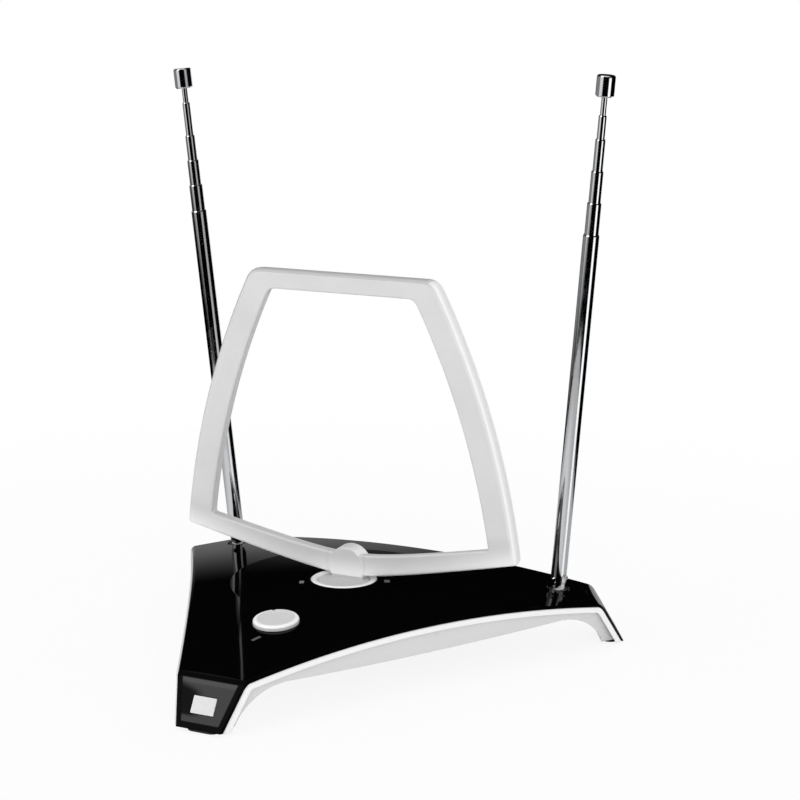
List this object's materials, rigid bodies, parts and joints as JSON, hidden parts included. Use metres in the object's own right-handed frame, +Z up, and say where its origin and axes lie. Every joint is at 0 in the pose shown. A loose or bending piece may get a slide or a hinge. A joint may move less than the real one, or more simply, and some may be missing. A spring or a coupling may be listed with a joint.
{
  "type": "tv antenna",
  "caption": "Indoor set-top antenna with a three-armed base, a swivelling frame loop and telescopic rods.",
  "frame": {"origin": "on the ground, under the middle of the bounding box", "axes": "+Z up, -Y towards the front foot, +X to the right as seen from the front"},
  "size_m": [0.2232, 0.1938, 0.2494],
  "materials": {
    "cover_black": "mirror-gloss black",
    "shell_white": "smooth white, softly glossy",
    "badge_grey": "flat light face",
    "ring_white": "polished white",
    "pad_rubber": "matte",
    "screw_steel": "plated",
    "board_green": "coated laminate",
    "can_tin": "tinned",
    "control_steel": "plated",
    "gland_rubber": "matte",
    "seat_plastic": "dark bushing",
    "lead_brass": "bare",
    "loop_silver": "satin, light silver-white",
    "conductor_brass": "bare",
    "turntable_grey": "satin grey",
    "knob_silver": "satin top, bright rim",
    "spindle_plastic": "natural",
    "rod_chrome": "polished",
    "cap_chrome": "polished"
  },
  "bodies": {
    "base": {"top_cover": "cover_black", "lower_shell": "shell_white", "badge_plate": "badge_grey", "swivel_ring": "ring_white", "foot_pad_front": "pad_rubber", "foot_pad_right": "pad_rubber", "foot_pad_left": "pad_rubber", "case_screws": "screw_steel", "circuit_board": "board_green", "amplifier_can": "can_tin", "gain_control": "control_steel", "cable_gland": "gland_rubber", "rod_seat_right": "seat_plastic", "rod_seat_left": "seat_plastic", "rod_lead_right": "lead_brass", "rod_lead_left": "lead_brass"},
    "loop": {"loop_front": "loop_silver", "loop_rear": "loop_silver", "loop_conductor": "conductor_brass", "loop_hub": "loop_silver", "turntable": "turntable_grey", "turntable_spring": "screw_steel", "turntable_washer": "screw_steel", "turntable_screw": "screw_steel"},
    "knob": {"gain_knob": "knob_silver", "gain_spindle": "spindle_plastic"},
    "post_right": {"swivel_post_right": "rod_chrome", "post_spring_right": "screw_steel", "post_clip_right": "screw_steel"},
    "rod_right": {"rod_fork_right": "rod_chrome", "pivot_pin_right": "rod_chrome", "tube_1_right": "rod_chrome"},
    "section_2_right": {"tube_2_right": "rod_chrome"},
    "section_3_right": {"tube_3_right": "rod_chrome"},
    "section_4_right": {"tube_4_right": "rod_chrome"},
    "section_5_right": {"tube_5_right": "rod_chrome"},
    "section_6_right": {"tube_6_right": "rod_chrome", "tip_cap_right": "cap_chrome"},
    "post_left": {"swivel_post_left": "rod_chrome", "post_spring_left": "screw_steel", "post_clip_left": "screw_steel"},
    "rod_left": {"rod_fork_left": "rod_chrome", "pivot_pin_left": "rod_chrome", "tube_1_left": "rod_chrome"},
    "section_2_left": {"tube_2_left": "rod_chrome"},
    "section_3_left": {"tube_3_left": "rod_chrome"},
    "section_4_left": {"tube_4_left": "rod_chrome"},
    "section_5_left": {"tube_5_left": "rod_chrome"},
    "section_6_left": {"tube_6_left": "rod_chrome", "tip_cap_left": "cap_chrome"}
  },
  "joints": [
    {"name": "loop_turn", "type": "hinge", "parent": "base", "child": "loop", "pos_m": [0, 0.02612, 0.0282], "axis": [0, 0, 1], "range_deg": [-90, 90]},
    {"name": "knob_turn", "type": "hinge", "parent": "base", "child": "knob", "pos_m": [0, -0.03438, 0.02754], "axis": [0, -0.0992, 0.9951], "range_deg": [-140, 140]},
    {"name": "swivel_right", "type": "hinge", "parent": "base", "child": "post_right", "pos_m": [0.08227, 0.07362, 0.02311], "axis": [0, 0, 1], "range_deg": [-105, 105]},
    {"name": "tilt_right", "type": "hinge", "parent": "post_right", "child": "rod_right", "pos_m": [0.08227, 0.07362, 0.02701], "axis": [0.3511, 0.9363, 0], "range_deg": [-20.7, 79.3]},
    {"name": "slide_2_right", "type": "slide", "parent": "rod_right", "child": "section_2_right", "axis": [0.0931, -0.0349, 0.995], "range_m": [-0.0124, 0.1064]},
    {"name": "slide_3_right", "type": "slide", "parent": "section_2_right", "child": "section_3_right", "axis": [0.0931, -0.0349, 0.995], "range_m": [-0.0123, 0.1065]},
    {"name": "slide_4_right", "type": "slide", "parent": "section_3_right", "child": "section_4_right", "axis": [0.0931, -0.0349, 0.995], "range_m": [-0.0122, 0.1066]},
    {"name": "slide_5_right", "type": "slide", "parent": "section_4_right", "child": "section_5_right", "axis": [0.0931, -0.0349, 0.995], "range_m": [-0.0087, 0.1101]},
    {"name": "slide_6_right", "type": "slide", "parent": "section_5_right", "child": "section_6_right", "axis": [0.0931, -0.0349, 0.995], "range_m": [-0.0066, 0.1122]},
    {"name": "swivel_left", "type": "hinge", "parent": "base", "child": "post_left", "pos_m": [-0.08227, 0.07362, 0.02311], "axis": [0, 0, -1], "range_deg": [-105, 105]},
    {"name": "tilt_left", "type": "hinge", "parent": "post_left", "child": "rod_left", "pos_m": [-0.08227, 0.07362, 0.02701], "axis": [0.3511, -0.9363, 0], "range_deg": [-20.7, 79.3]},
    {"name": "slide_2_left", "type": "slide", "parent": "rod_left", "child": "section_2_left", "axis": [-0.0931, -0.0349, 0.995], "range_m": [-0.0107, 0.1081]},
    {"name": "slide_3_left", "type": "slide", "parent": "section_2_left", "child": "section_3_left", "axis": [-0.0931, -0.0349, 0.995], "range_m": [-0.0102, 0.1086]},
    {"name": "slide_4_left", "type": "slide", "parent": "section_3_left", "child": "section_4_left", "axis": [-0.0931, -0.0349, 0.995], "range_m": [-0.0101, 0.1087]},
    {"name": "slide_5_left", "type": "slide", "parent": "section_4_left", "child": "section_5_left", "axis": [-0.0931, -0.0349, 0.995], "range_m": [-0.0138, 0.105]},
    {"name": "slide_6_left", "type": "slide", "parent": "section_5_left", "child": "section_6_left", "axis": [-0.0931, -0.0349, 0.995], "range_m": [-0.0054, 0.1134]}
  ]
}
